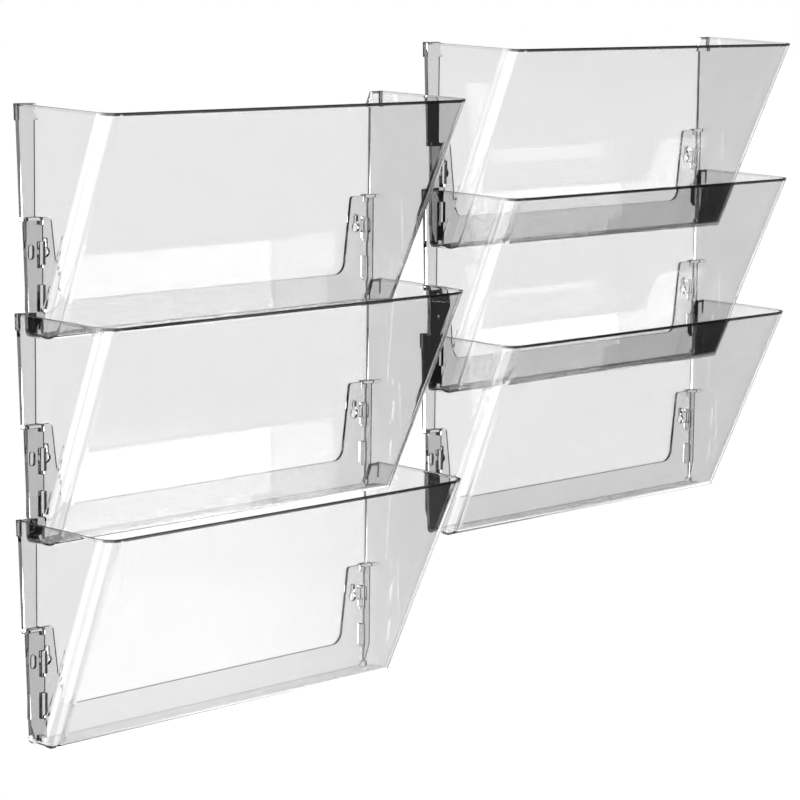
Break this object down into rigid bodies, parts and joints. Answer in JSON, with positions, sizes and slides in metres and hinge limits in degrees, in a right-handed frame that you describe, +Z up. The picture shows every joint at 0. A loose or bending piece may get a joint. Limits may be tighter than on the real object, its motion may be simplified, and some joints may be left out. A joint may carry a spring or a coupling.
{
  "type": "wall file pocket rack",
  "caption": "Clear plastic wall pockets for legal-size paper, snapped together in two hanging columns, one at long spacing and one nested closer, with keyhole ears for wall screws.",
  "frame": {"origin": "midpoint between the round ends of the top-left pocket's two keyholes, on the wall plane", "axes": "+X right along the wall as seen from the front, +Y into the wall, +Z up"},
  "size_m": [0.8781, 0.105, 0.5362],
  "materials": {
    "clear_plastic": "clear, polished"
  },
  "bodies": {
    "wall_pockets": {"left_top": "clear_plastic", "right_top": "clear_plastic"},
    "left_middle": {"left_middle": "clear_plastic"},
    "left_bottom": {"left_bottom": "clear_plastic"},
    "right_middle": {"right_middle": "clear_plastic"},
    "right_bottom": {"right_bottom": "clear_plastic"}
  },
  "joints": [
    {"name": "left_middle_slide", "type": "slide", "parent": "wall_pockets", "child": "left_middle", "axis": [0, 0, 1], "range_m": [0, 0.0665]},
    {"name": "left_bottom_slide", "type": "slide", "parent": "left_middle", "child": "left_bottom", "axis": [0, 0, 1], "range_m": [0, 0.0665]},
    {"name": "right_middle_slide", "type": "slide", "parent": "wall_pockets", "child": "right_middle", "axis": [0, 0, 1], "range_m": [-0.03325, 0.03325]},
    {"name": "right_bottom_slide", "type": "slide", "parent": "right_middle", "child": "right_bottom", "axis": [0, 0, 1], "range_m": [-0.03325, 0.03325]}
  ]
}
